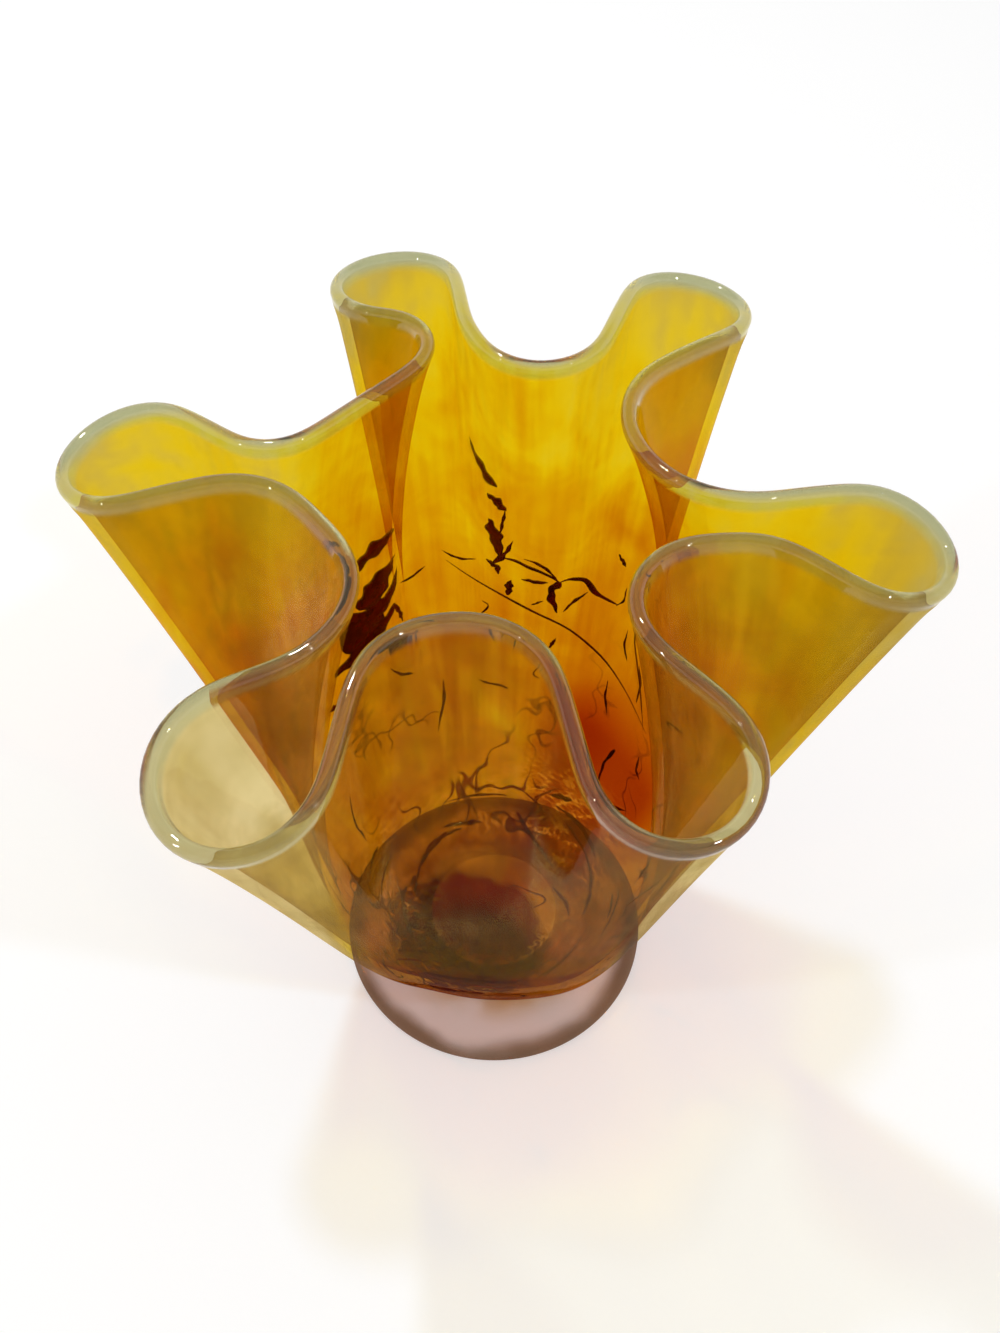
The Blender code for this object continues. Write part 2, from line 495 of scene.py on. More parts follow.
@dataclass(frozen=True)
class Vase:
    """The blown glass: foot, bowl, folded wall and rim as one closed skin.

    Each rise or spread is where a smooth step starts, and its span. Sides are in degrees, the starts
    in shares of the neck's radius, and the well in millimetres."""

    wall: Wall = field(default_factory=Wall)
    foot: Foot = field(default_factory=Foot)
    outer_rows: int = 84
    inner_rows: int = 80
    rim_rows: int = 9
    lobe_paling: float = 0.16
    full_colour: float = 0.90
    wall_start: float = 1.15
    floor_start: float = 0.35
    golden_depth: float = 0.38
    golden_rise: Pair = (-0.0304, 0.08)
    red_side: float = 38.0
    red_depth: float = 0.05
    red_rise: Pair = (0.10, 0.32)
    red_spread: Pair = (0.75, 0.2)
    clear_side: float = 268.0
    clearing: float = 0.97
    clear_rise: Pair = (0.16, 0.3)
    clear_spread: Pair = (-0.08, 0.45)
    well_place: Pair = (-8.0, -14.0)
    well_reach: Pair = (16.0, 30.0)
    well_top: float = 40.0
    well_fade: float = 10.0

    def skin(self) -> tuple[Array, Array, Array]:
        """The rows of the skin, from under the foot, up the outer side, over the rim and down inside.

        Returns:
            The grid of points in millimetres, the share of the wall's height of each row, and a mask
            that is 1 on the rows of the foot.
        """
        turns = self.wall.turns(self.wall.rim.line(self.wall.points_round))
        foot = self.foot.rows(turns)
        neck = self.foot.neck_radius
        outer, outer_shares = self.wall.side(Side.OUTER, self.wall_start * neck, self.outer_rows)
        inner, inner_shares = self.wall.side(Side.INNER, self.floor_start * neck, self.inner_rows)
        over = self.wall.rim_round(self.rim_rows)
        shares = np.concatenate([np.zeros(len(foot)), outer_shares, np.ones(len(over)), inner_shares[::-1]])
        footing = np.concatenate([np.ones(len(foot)), np.zeros(len(outer) + len(over) + len(inner))])
        return np.concatenate([foot, outer, over, inner[::-1]]), shares, footing

    def colour_depth(self, shares: Array) -> Array:
        """How far the colour is drawn out at each point, from 0, the gather's full depth, to 1, clear.

        It is the share of the height, plus a part that grows with height where the rim reaches
        further out than its mean, as the lobes are drawn thinner than the folds. Low on the bowl it
        stays golden, by a smooth step of the share, but on the red side it falls off by another.
        The upper wall of the clear side goes most of the way to clear, by a smooth step of the
        cosine of the turn from its middle.

        Args:
            shares: the share of the height for each row.

        Returns:
            One value for each point of the skin's grid.
        """
        rim = self.wall.rim.line(self.wall.points_round)
        turns = self.wall.turns(rim)
        reach = np.hypot(rim[:, 0], rim[:, 1])
        lobing = (reach - reach.mean()) / np.abs(reach - reach.mean()).max()
        u = shares[:, None]
        scale = self.full_colour / (1.0 + self.lobe_paling)
        drawn = scale * (u + self.lobe_paling * lobing[None, :] * u**2)
        golden = np.maximum(drawn, self.golden_depth * rising(u, self.golden_rise))
        red = np.maximum(drawn * rising(u, self.red_rise), self.red_depth)
        facing = rising(np.cos(turns - math.radians(self.red_side)), self.red_spread)[None, :]
        drawn = golden + (red - golden) * facing
        towards = np.cos(turns - math.radians(self.clear_side))[None, :]
        clear = self.clearing * rising(towards, self.clear_spread) * rising(u, self.clear_rise)
        return drawn + (1.0 - drawn) * clear

    def well(self, points: Array) -> Array:
        """The mask of the maroon pool low in the bowl, off its middle: 1 near the pool's own axis and
        0 past its reach, by a smooth step, and fading out with height.

        Args:
            points: rows of x, y and z in millimetres.

        Returns:
            One value for each point.
        """
        apart = np.hypot(points[:, 0] - self.well_place[0], points[:, 1] - self.well_place[1])
        near, far = self.well_reach
        fading = smooth_step((self.well_top - points[:, 2]) / self.well_fade)
        return smooth_step((far - apart) / (far - near)) * fading

    def build(self) -> bpy.types.Object:
        """Makes the skin's mesh, closes its two poles, and stores each point's colour depth, foot
        mask, and flow: the cosine and sine of its turn, and its share of the height.

        Returns:
            The object.
        """
        rows, shares, footing = self.skin()
        count, around = rows.shape[:2]
        turns = self.wall.turns(self.wall.rim.line(around))
        top = self.wall.floor_height + 0.5 * self.wall.floor_thickness
        points = np.vstack([rows.reshape(-1, 3), [[0.0, 0.0, 0.0]], [[0.0, 0.0, top]]]) * MM
        here, onward = np.arange(around), np.roll(np.arange(around), -1)
        under = np.column_stack([np.full(around, count * around), onward, here])
        last = (count - 1) * around
        floor = np.column_stack([last + here, last + onward, np.full(around, count * around + 1)])
        quads = grid_faces(count, around)
        loops = np.concatenate([quads.ravel(), under.ravel(), floor.ravel()])
        sizes = np.concatenate([np.full(len(quads), 4), np.full(2 * around, 3)])
        mesh = solid_mesh("vase_glass", points, loops, sizes)

        def spread(values: Array, at_foot: float, at_floor: float) -> Array:
            """The grid's values in a row, with those of the two poles after them."""
            grid = np.broadcast_to(values, (count, around)).ravel()
            return np.concatenate([grid, [at_foot, at_floor]]).astype(np.float32)

        store(mesh, "depth", spread(self.colour_depth(shares), 0.0, 0.0))
        store(mesh, "footing", spread(footing[:, None], 1.0, 0.0))
        store(mesh, "well", self.well(points / MM))
        flow = [spread(np.cos(turns)[None, :], 0.0, 0.0), spread(np.sin(turns)[None, :], 0.0, 0.0)]
        store(mesh, "flow", np.column_stack([*flow, spread(shares[:, None], 0.0, 0.0)]))
        return placed("vase_glass", mesh)


def store(mesh: bpy.types.Mesh, name: str, values: Array) -> None:
    """Stores one number, or one row of three, for each vertex of a mesh, under that name."""
    kind, key = ("FLOAT", "value") if values.ndim == 1 else ("FLOAT_VECTOR", "vector")
    mesh.attributes.new(name, kind, "POINT").data.foreach_set(key, values.astype(np.float32).ravel())


@dataclass(frozen=True)
class PhotoCamera:
    """The photograph's camera: looking down at the foot's centre from a distance in millimetres."""

    pitch: float = 52.26
    roll: float = 0.56
    distance: float = 446.5
    foot_pixel: Pair = (493.9, 923.8)
    image_size: Pair = (1000.0, 1333.0)
    focal_pixels: float = 1400.0
    sensor: float = 36.0

    def axes(self) -> tuple[Array, Array, Array]:
        """The camera's right, up and forward directions: pitched down, then rolled.

        Returns:
            Three unit vectors.
        """
        pitch, roll = math.radians(self.pitch), math.radians(self.roll)
        forward = np.array([0.0, math.cos(pitch), -math.sin(pitch)])
        right = np.array([1.0, 0.0, 0.0])
        up = np.cross(right, forward)
        turned = math.cos(roll) * right + math.sin(roll) * up
        return turned, math.cos(roll) * up - math.sin(roll) * right, forward

    def rays(self, pixels: Array) -> Array:
        """The direction of the ray through each pixel of the photograph.

        Args:
            pixels: rows of x to the right and y down.

        Returns:
            Unit vectors.
        """
        right, up, forward = self.axes()
        across = (pixels[:, :1] - 0.5 * self.image_size[0]) / self.focal_pixels
        rise = (0.5 * self.image_size[1] - pixels[:, 1:]) / self.focal_pixels
        return unit(across * right + rise * up + forward)

    def place(self) -> Array:
        """Where the camera stands, in millimetres: back along the ray of the foot's centre."""
        return -self.rays(np.array([self.foot_pixel]))[0] * self.distance

    def build(self) -> bpy.types.Object:
        """Makes the camera and sets it as the scene's own.

        Returns:
            The camera.
        """
        right, up, forward = self.axes()
        turn = Matrix(np.column_stack([right, up, -forward]).tolist()).to_4x4()
        data = bpy.data.cameras.new("photo_camera")
        data.sensor_width = self.sensor
        data.lens = self.focal_pixels / self.image_size[1] * self.sensor
        data.clip_start = 0.01
        camera = placed("photo_camera", data)
        camera.matrix_world = Matrix.Translation(Vector((self.place() * MM).tolist())) @ turn
        bpy.context.scene.camera = camera
        return camera


class Thread(NamedTuple):
    """A thread of dark glass: its path in pixels of the photograph, its greatest width in
    millimetres, and how far along the path it is widest."""

    path: tuple[Pair, ...]
    width: float
    widest: float = 0.5


BACK_THREADS: tuple[Thread, ...] = (
    Thread(((469, 436), (474, 452), (481, 466), (490, 480), (497, 487)), 3.4, 0.62),
    Thread(((487, 493), (495, 501), (506, 511)), 3.2),
    Thread(((490, 519), (493, 530), (496, 542), (501, 557)), 3.8, 0.34),
    Thread(((505, 511), (503, 522), (499, 536)), 0.9),
    Thread(((513, 541), (508, 550), (501, 557), (493, 563)), 1.4, 0.6),
    Thread(((486, 559), (492, 563), (497, 567), (498, 574)), 1.6),
    Thread(((500, 557), (512, 560), (524, 565), (538, 571), (552, 577), (560, 583)), 1.1),
    Thread(((524, 559), (536, 563), (547, 569), (557, 580)), 0.8),
    Thread(((521, 579), (534, 582), (548, 583)), 1.1),
    Thread(((558, 583), (568, 579), (585, 579), (595, 592), (606, 600), (618, 605)), 1.2),
    Thread(((616, 606), (624, 601), (627, 588)), 0.5),
    Thread(((560, 582), (552, 589), (551, 598), (557, 613)), 2.2, 0.35),
    Thread(((563, 612), (574, 601), (588, 592)), 0.9),
    Thread(((511, 580), (509, 588), (507, 595)), 1.7),
    Thread(((531, 605), (543, 601)), 0.6),
    Thread(((549, 648), (556, 638)), 0.9),
    Thread(
        ((446, 560), (470, 577), (493, 590), (535, 613), (570, 628), (605, 659), (628, 694), (646, 734)), 0.6
    ),
    Thread(((442, 550), (452, 556), (462, 559), (476, 559)), 0.6),
    Thread(((400, 583), (410, 578), (425, 566)), 0.6),
    Thread(((619, 554), (626, 567)), 0.8),
    Thread(((640, 606), (634, 640), (640, 686), (643, 730)), 0.5),
    Thread(((628, 630), (624, 645), (627, 661)), 0.6),
    Thread(((639, 666), (641, 684), (636, 703)), 0.8),
    Thread(((608, 680), (605, 696), (607, 715)), 0.6),
    Thread(((615, 750), (603, 764), (597, 786)), 1.0, 0.3),
    Thread(((639, 757), (636, 770), (639, 780)), 0.7),
    Thread(((606, 799), (616, 808), (626, 811)), 0.6),
    Thread(((516, 812), (530, 834), (554, 868)), 1.0, 0.3),
)

LEFT_THREADS: tuple[Thread, ...] = (
    Thread(((352, 572), (365, 560), (378, 547), (394, 529)), 5.0, 0.4),
    Thread(((395, 555), (386, 572), (374, 590), (358, 610)), 9.0, 0.62),
    Thread(((386, 596), (373, 612), (358, 632), (343, 652)), 12.0, 0.6),
    Thread(((397, 566), (394, 585), (385, 604), (367, 629)), 3.0),
    Thread(((395, 603), (385, 622), (365, 647), (335, 677)), 6.0),
    Thread(((395, 605), (400, 612), (403, 621)), 1.6),
    Thread(((330, 712), (339, 704)), 1.5),
)


@dataclass(frozen=True)
class Threads:
    """Threads of dark glass drawn into the wall: those that the photograph shows, and fine strays
    all round the bowl. Each is a flat tube along the middle of the glass, with ragged edges. The
    pairs are the ranges that the strays' measures are drawn from."""

    wall: Wall
    camera: PhotoCamera
    threads: tuple[Thread, ...] = BACK_THREADS + LEFT_THREADS
    thickness: float = 0.5
    samples: int = 28
    sides: int = 8
    raggedness: float = 0.3
    boldness: float = 1.3
    ragged_waves: tuple[float, ...] = (5.0, 11.0, 19.0)
    fullness: float = 0.7
    sheet_rows: int = 140
    climbing: int = 16
    ringed: int = 26
    climb_start: Pair = (0.10, 0.42)
    ring_start: Pair = (0.015, 0.09)
    climb_turn: Pair = (-0.03, 0.03)
    ring_turn: Pair = (0.03, 0.12)
    climb_rise: Pair = (0.02, 0.12)
    ring_rise: Pair = (-0.012, 0.012)
    climb_width: Pair = (0.3, 0.8)
    ring_width: Pair = (0.4, 1.3)
    turn_bend: float = 0.004
    climb_bend: float = 0.006
    stray_top: float = 0.62
    stray_rows: int = 90
    stray_widest: float = 0.4
    seed: int = 7

    def sheet(self) -> BVHTree:
        """The middle of the glass as a tree that rays can be cast at.

        Returns:
            The tree, in millimetres.
        """
        rows = self.wall.middle(np.linspace(0.0, 1.0, self.sheet_rows)[1:])
        faces = grid_faces(*rows.shape[:2])
        return BVHTree.FromPolygons(rows.reshape(-1, 3).tolist(), faces.tolist())

    def on_wall(self, tree: BVHTree, thread: Thread) -> tuple[Array, Array]:
        """The thread's path carried by the camera's rays onto the far side of the middle of the glass.

        Args:
            tree: the middle of the glass.
            thread: the thread.

        Returns:
            The points that were hit and the wall's normals there.
        """
        path = np.array(thread.path, dtype=float)
        along = np.concatenate([[0.0], np.cumsum(np.hypot(*np.diff(path, axis=0).T))])
        places = np.linspace(0.0, along[-1], self.samples)
        pixels = np.column_stack([np.interp(places, along, path[:, k]) for k in (0, 1)])
        kernel = np.array([1.0, 2.0, 3.0, 2.0, 1.0]) / 9.0
        padded = np.pad(pixels, ((2, 2), (0, 0)), mode="reflect", reflect_type="odd")
        pixels = np.column_stack([np.convolve(padded[:, k], kernel, mode="valid") for k in (0, 1)])
        start = Vector(self.camera.place().tolist())
        rays = self.camera.rays(pixels).tolist()
        crossings = [self.last_crossing(tree, start, Vector(ray)) for ray in rays]
        found = [hit for hit in crossings if hit is not None]
        return np.array([tuple(hit[0]) for hit in found]), np.array([tuple(hit[1]) for hit in found])

    @staticmethod
    def last_crossing(tree: BVHTree, start: Vector, ray: Vector) -> tuple[Vector, Vector] | None:
        """Where a ray crosses the middle of the glass for the last time.

        Args:
            tree: the middle of the glass.
            start: where the ray starts.
            ray: its direction.

        Returns:
            The place and the normal there, or None where it misses.
        """
        found: tuple[Vector, Vector] | None = None
        place, normal, _, _ = tree.ray_cast(start, ray)
        while place is not None:
            found = (place, normal)
            place, normal, _, _ = tree.ray_cast(place + ray * 0.5, ray)
        return found

    def strays(self, rng: np.random.Generator) -> list[tuple[Array, Array, float]]:
        """Fine threads all round: some climb the lower wall, some lie in rings low on the bowl.

        Each starts at a random turn and share of the height and keeps a random heading, to which a
        slow sine adds a bend. The points are the wall's own, between its grid's four nearest.

        Args:
            rng: the source of the random draws.

        Returns:
            For each thread its points, the wall's normals there and its width.
        """
        shares = np.linspace(0.0, self.stray_top, self.stray_rows)[1:]
        grid = self.wall.middle(shares)
        outward = self.wall.normals(grid)
        count = self.climbing + self.ringed
        low = np.arange(count) >= self.climbing
        along = np.linspace(0.0, 1.0, self.samples)

        def drawn(ring: Pair, climb: Pair) -> Array:
            """A random value for each thread, within the range of its kind."""
            return np.where(low, rng.uniform(*ring, count), rng.uniform(*climb, count))

        first_turn = rng.uniform(0.0, 1.0, count)
        first_share = drawn(self.ring_start, self.climb_start)
        turn_run = drawn(self.ring_turn, self.climb_turn)
        share_run = drawn(self.ring_rise, self.climb_rise)
        phase, bend = rng.uniform(0.0, math.tau, (2, count, 1))
        widths = drawn(self.ring_width, self.climb_width)
        wave = np.sin(along * (3.0 + bend) + phase) - np.sin(phase)
        turn = first_turn[:, None] + turn_run[:, None] * along + self.turn_bend * wave
        share_bend = self.climb_bend * wave * (1.0 - low)[:, None]
        share = first_share[:, None] + share_run[:, None] * along - share_bend
        column = turn * grid.shape[1]
        row = np.clip((share - shares[0]) / (shares[1] - shares[0]), 0.0, len(shares) - 1.001)
        r, c = np.floor(row).astype(int), np.floor(column).astype(int)
        up, on = (row - r)[..., None], (column - c)[..., None]
        c, after = c % grid.shape[1], (c + 1) % grid.shape[1]

        def between(values: Array) -> Array:
            """The grid's values at the threads' places, weighted between the four nearest."""
            near = values[r, c] * (1.0 - on) + values[r, after] * on
            return near * (1.0 - up) + (values[r + 1, c] * (1.0 - on) + values[r + 1, after] * on) * up

        return list(zip(between(grid), unit(between(outward)), widths.tolist()))

    def tube(
        self, points: Array, normals: Array, width: float, widest: float, rng: np.random.Generator
    ) -> Array:
        """A flat tube: at each point an ellipse across the path, as wide as the thread along the
        wall and as thick as the thread across it. The width is a half wave of a sine of the way
        along, raised to the power that puts its top at the widest place, and each edge is ragged
        by three sines.

        Args:
            points: the middle of the thread.
            normals: the wall's normals there.
            width: the greatest width.
            widest: how far along it is widest.
            rng: the source of the random draws.

        Returns:
            A grid of points, one closed row for each point of the path.
        """
        across = unit(np.cross(normals, np.gradient(points, axis=0)))
        way = np.linspace(0.02, 0.98, len(points))
        taper = np.sin(math.pi * way ** (math.log(0.5) / math.log(widest))) ** self.fullness
        waves = np.array(self.ragged_waves)[:, None, None]
        phases = rng.uniform(0.0, math.tau, (len(waves), 1, 2))
        rough = np.sin(way[None, :, None] * waves + phases).sum(axis=0)
        edges = 1.0 + self.raggedness * rough / (0.5 * len(waves))
        angles = math.tau * np.arange(self.sides) / self.sides
        edge = np.where(np.cos(angles)[None, :] > 0.0, edges[:, :1], edges[:, 1:])
        reach = 0.5 * self.boldness * width * taper[:, None] * edge * np.cos(angles)[None, :]
        flat = reach[..., None] * across[:, None]
        deep = 0.5 * self.thickness * taper[:, None, None] * np.sin(angles)[None, :, None] * normals[:, None]
        return points[:, None] + flat + deep

    def build(self) -> bpy.types.Object:
        """Makes one mesh of all the threads.

        Returns:
            The object.
        """
        tree = self.sheet()
        rng = np.random.default_rng(self.seed)
        drawn = [(*self.on_wall(tree, thread), thread.width, thread.widest) for thread in self.threads]
        drawn += [(*stray, self.stray_widest) for stray in self.strays(rng)]
        points, loops, sizes, first = [], [], [], 0
        for middle, normals, width, widest in drawn:
            rows = self.tube(middle, normals, width, widest, rng)
            quads = grid_faces(*rows.shape[:2])
            ends = [np.arange(self.sides)[::-1], (len(rows) - 1) * self.sides + np.arange(self.sides)]
            points.append(rows.reshape(-1, 3))
            loops.append(np.concatenate([quads.ravel(), *ends]) + first)
            sizes.append(np.concatenate([np.full(len(quads), 4), [self.sides, self.sides]]))
            first += len(points[-1])
        mesh = solid_mesh("threads", np.vstack(points) * MM, np.concatenate(loops), np.concatenate(sizes))
        return placed("threads", mesh)


class Noise(NamedTuple):
    """The settings of a Noise Texture node."""

    scale: float
    detail: float = 2.0
    roughness: float = 0.5
    distortion: float = 0.0


class Nodes:
    """A short hand for laying shader nodes in a tree."""

    def __init__(self, tree: bpy.types.NodeTree) -> None:
        """Takes the tree and clears it."""
        self.tree = tree
        tree.nodes.clear()

    def add(self, kind: str, settings: dict[str, object] | None = None, **inputs: object) -> bpy.types.Node:
        """Adds a node.

        Args:
            kind: the node's type.
            settings: properties of the node, by name.
            **inputs: a value or an output socket for an input, by its name with _ for a space, or
                i0, i1, ... for an input by its place.

        Returns:
            The node.
        """
        node = self.tree.nodes.new(kind)
        for name, value in (settings or {}).items():
            setattr(node, name, value)
        for name, value in inputs.items():
            by_place = name[0] == "i" and name[1:].isdigit()
            socket = node.inputs[int(name[1:])] if by_place else node.inputs[name.replace("_", " ")]
            if isinstance(value, Socket):
                self.tree.links.new(value, socket)
            else:
                socket.default_value = value
        return node

    def math(self, operation: str, first: object, second: object, third: object = 0.0) -> Socket:
        """The result of a Math node."""
        return self.add("ShaderNodeMath", {"operation": operation}, i0=first, i1=second, i2=third).outputs[0]

    def stored(self, name: str, output: str = "Fac") -> Socket:
        """A value that the mesh stores for each point."""
        return self.add("ShaderNodeAttribute", {"attribute_name": name}).outputs[output]

    def ramp(self, value: Socket, stops: tuple[tuple[float, Colour], ...]) -> Socket:
        """The colour of a Color Ramp node with those stops.

        Args:
            value: where along the ramp.
            stops: the places and colours, in order.

        Returns:
            The colour.
        """
        node = self.add("ShaderNodeValToRGB", Fac=value)
        line = node.color_ramp
        line.elements[0].position, line.elements[0].color = stops[0]
        line.elements[1].position, line.elements[1].color = stops[-1]
        for place, colour in stops[1:-1]:
            line.elements.new(place).color = colour
        return node.outputs["Color"]

    def step(self, value: object, low: float, high: float) -> Socket:
        """A smooth step from 0 at low to 1 at high, which may be the smaller of the two.

        Args:
            value: what is stepped.
            low: where the step has 0.
            high: where it has 1.

        Returns:
            The step's value.
        """
        settings = {"interpolation_type": "SMOOTHSTEP"}
        node = self.add("ShaderNodeMapRange", settings, Value=value, From_Min=low, From_Max=high)
        return node.outputs["Result"]

    def noise(self, vector: object, noise: Noise) -> Socket:
        """The grey value of a Noise Texture node, about 0.5 in its middle."""
        named = {name.capitalize(): value for name, value in noise._asdict().items()}
        return self.add("ShaderNodeTexNoise", Vector=vector, **named).outputs["Fac"]

    def bumped(self, height: Socket, strength: float, distance: float) -> Socket:
        """The normal that a height raises, at that strength and distance in metres."""
        return self.add("ShaderNodeBump", Strength=strength, Distance=distance, Height=height).outputs["Normal"]

    def tinted(self, colour: Socket, gamma: object) -> Socket:
        """The colour raised to that power."""
        return self.add("ShaderNodeGamma", Color=colour, Gamma=gamma).outputs["Color"]

    def mixed(self, share: object, first: object, second: object) -> Socket:
        """The colour of a Mix node, from the first at 0 to the second at 1."""
        return self.add("ShaderNodeMix", {"data_type": "RGBA"}, i0=share, i6=first, i7=second).outputs[2]


def glass_ripple(fineness: float = 5.0, grain_share: float = 0.12) -> bpy.types.NodeTree:
    """The group for the soft ripple of blown glass: broad cloudy swells and a finer grain.

    The height is noise at Scale plus a share of noise at a scale some times that.

    Args:
        fineness: how many times finer the grain is than the swells.
        grain_share: how high the grain is beside the swells.

    Returns:
        The group, with the sockets Vector, Scale and Height.
    """
    group = bpy.data.node_groups.new("glass_ripple", "ShaderNodeTree")
    sockets = (("Vector", "INPUT", "Vector"), ("Scale", "INPUT", "Float"), ("Height", "OUTPUT", "Float"))
    for name, way, kind in sockets:
        group.interface.new_socket(name, in_out=way, socket_type=f"NodeSocket{kind}")
    lay = Nodes(group)
    entry = lay.add("NodeGroupInput").outputs
    fine = lay.math("MULTIPLY", entry["Scale"], fineness)
    broad = lay.noise(entry["Vector"], Noise(entry["Scale"], 1.0))
    grain = lay.noise(entry["Vector"], Noise(fine, 0.0))
    lay.add("NodeGroupOutput", Height=lay.math("MULTIPLY_ADD", grain, grain_share, broad))
    return group


@dataclass(frozen=True)
class AmberGlass:
    """Amber glass that pales from maroon in the bowl to straw at the rim, with a clear foot.

    A ray through one wall comes out in about the ramp's colour. Most light passes the wall straight,
    tinted, and the rest is bent. Light for shadows, and light that has turned many times in the
    glass, passes straight through in a plainer tint that takes no noise. Each pair is where a smooth
    step has 0 and where it has 1, but bump is a strength and a distance in metres."""

    stops: tuple[tuple[float, Screen], ...] = (
        (0.00, (92, 10, 1)),
        (0.03, (138, 36, 2)),
        (0.055, (160, 54, 2)),
        (0.09, (170, 70, 2)),
        (0.15, (180, 88, 2)),
        (0.24, (191, 108, 2)),
        (0.34, (200, 125, 2)),
        (0.45, (211, 146, 2)),
        (0.55, (218, 166, 2)),
        (0.64, (225, 185, 6)),
        (0.72, (224, 190, 22)),
        (0.79, (218, 186, 44)),
        (0.86, (206, 176, 60)),
        (0.92, (196, 173, 84)),
        (0.96, (206, 188, 122)),
        (1.00, (228, 213, 154)),
    )
    well_colour: Colour = screen_colour(84, 2, 1)
    bead_colour: Colour = screen_colour(178, 180, 136)
    foot_colour: Colour = screen_colour(222, 206, 200)
    # Painted shade: the brown of the wavering band that darkens the foot's edge.
    foot_edge_colour: Colour = screen_colour(146, 118, 96)
    foot_stain_colour: Colour = screen_colour(190, 145, 80)
    under_colour: Colour = screen_colour(250, 232, 204)
    thread_colour: Colour = screen_colour(70, 10, 6)
    vein_colour: Colour = screen_colour(232, 160, 52)
    sheen_colour: Colour = screen_colour(250, 230, 70)
    clouds: Noise = Noise(26.0, 3.0, 0.66, 0.9)
    cloud: float = 0.75
    streaks: Noise = Noise(2.6, 2.0, 0.6)
    streak: float = 0.34
    streak_stretch: tuple[float, float, float] = (9.0, 9.0, 1.2)
    grains: Noise = Noise(210.0, 0.0)
    grain: float = 0.08
    calm_deep: Pair = (0.1, 0.35)
    calm_clear: Pair = (0.75, 0.95)
    calming: float = 0.75
    smoke: Noise = Noise(15.0, 2.0, 0.6)
    smoke_depth: float = 1.08
    well_ragged: Noise = Noise(80.0, 2.0, 0.65)
    well_rise: Pair = (0.75, 1.15)
    vein: Noise = Noise(5.0, 2.0, 0.55)
    vein_flatness: float = 12.0
    vein_width: float = 0.05
    vein_top: Pair = (0.16, 0.05)
    vein_floor: Pair = (0.005, 0.03)
    crack: Noise = Noise(75.0, 1.0)
    crack_width: float = 0.02
    crack_gaps: Noise = Noise(48.0, 0.0)
    crack_gap_rise: Pair = (0.52, 0.62)
    crack_top: Pair = (0.45, 0.12)
    bead_rise: Pair = (0.984, 0.997)
    foot_waver: Noise = Noise(28.0, 3.0)
    foot_wavering: float = 0.012
    # Painted shade: the radii in metres where the dark band at the foot's edge starts and where it is full.
    foot_edge: Pair = (0.0440, 0.0495)
    foot_stain: Pair = (0.043, 0.032)
    foot_stain_patches: Pair = (0.40, 0.62)
    foot_under: Pair = (0.030, 0.012)
    ripple_scale: float = 70.0
    bump: Pair = (0.4, 0.0006)
    roughness: float = 0.03
    ior: float = 1.12
    gloss: float = 0.3
    clearness: float = 0.94
    thinness: float = 0.9
    one_face: float = 0.5
    slant_power: float = 5.0
    slant_depth: float = 0.3
    turns_of_light: float = 4.5

    def material(self, ripple: bpy.types.NodeTree) -> bpy.types.Material:
        """Makes the material.

        Args:
            ripple: the group for the ripple of blown glass.

        Returns:
            The material.
        """
        material = bpy.data.materials.new("amber_glass")
        material.use_nodes = True
        lay = Nodes(material.node_tree)
        place = lay.add("ShaderNodeTexCoord").outputs["Object"]
        flow = lay.stored("flow", "Vector")
        footing = lay.stored("footing")
        share = lay.add("ShaderNodeSeparateXYZ", Vector=flow).outputs["Z"]
        bead = lay.step(share, *self.bead_rise)
        colour = self.colour(lay, place, flow, share, footing, bead)
        swell = lay.add("ShaderNodeGroup", {"node_tree": ripple}, Vector=place, Scale=self.ripple_scale)
        body = lay.add(
            "ShaderNodeBsdfPrincipled",
            Base_Color=colour,
            Roughness=self.roughness,
            IOR=self.ior,
            Transmission_Weight=self.clearness,
            Coat_Weight=lay.math("MAXIMUM", bead, self.gloss),
            Specular_Tint=self.sheen_colour,
            Normal=lay.bumped(swell.outputs["Height"], *self.bump),
        ).outputs["BSDF"]
        facing = lay.add("ShaderNodeLayerWeight", Blend=0.5).outputs["Facing"]
        slant = lay.math("POWER", facing, self.slant_power)
        gamma = lay.math("MULTIPLY_ADD", slant, self.slant_depth, self.one_face)
        passing = lay.add("ShaderNodeBsdfTransparent", Color=lay.tinted(colour, gamma)).outputs["BSDF"]
        thin = lay.math("MULTIPLY", lay.step(share, *self.bead_rise[::-1]), self.thinness)
        seen = lay.add("ShaderNodeMixShader", i0=thin, i1=body, i2=passing).outputs["Shader"]
        shade = lay.add("ShaderNodeBsdfTransparent", Color=self.shade_colour(lay, footing)).outputs["BSDF"]
        path = lay.add("ShaderNodeLightPath").outputs
        tired = lay.math("GREATER_THAN", path["Ray Depth"], self.turns_of_light)
        unseen = lay.math("MAXIMUM", path["Is Shadow Ray"], tired)
        surface = lay.add("ShaderNodeMixShader", i0=unseen, i1=seen, i2=shade).outputs["Shader"]
        lay.add("ShaderNodeOutputMaterial", Surface=surface)
        return material

    def colour(
        self, lay: Nodes, place: Socket, flow: Socket, share: Socket, footing: Socket, bead: Socket
    ) -> Socket:
        """The glass's colour: the wall's, under its smoke, pool, veins and cracks, then the bead's
        and the foot's.

        Args:
            lay: the material's nodes.
            place: the Object coordinates.
            flow: the direction round the axis, and the share of the height.
            share: the share of the height.
            footing: the mask of the foot.
            bead: the mask of the rim's bead.

        Returns:
            The colour.
        """
        well = lay.stored("well")
        pool = lay.math("ADD", well, lay.noise(place, self.well_ragged))
        colour = self.smoked(lay, place, self.wall_colour(lay, place, flow))
        colour = lay.mixed(lay.step(pool, *self.well_rise), colour, self.well_colour)
        colour = lay.mixed(self.veins(lay, flow, share), colour, self.vein_colour)
        colour = lay.mixed(self.crackle(lay, place, share), colour, self.thread_colour)
        colour = lay.mixed(bead, colour, self.bead_colour)
        return lay.mixed(footing, colour, self.foot_tint(lay, place, well))

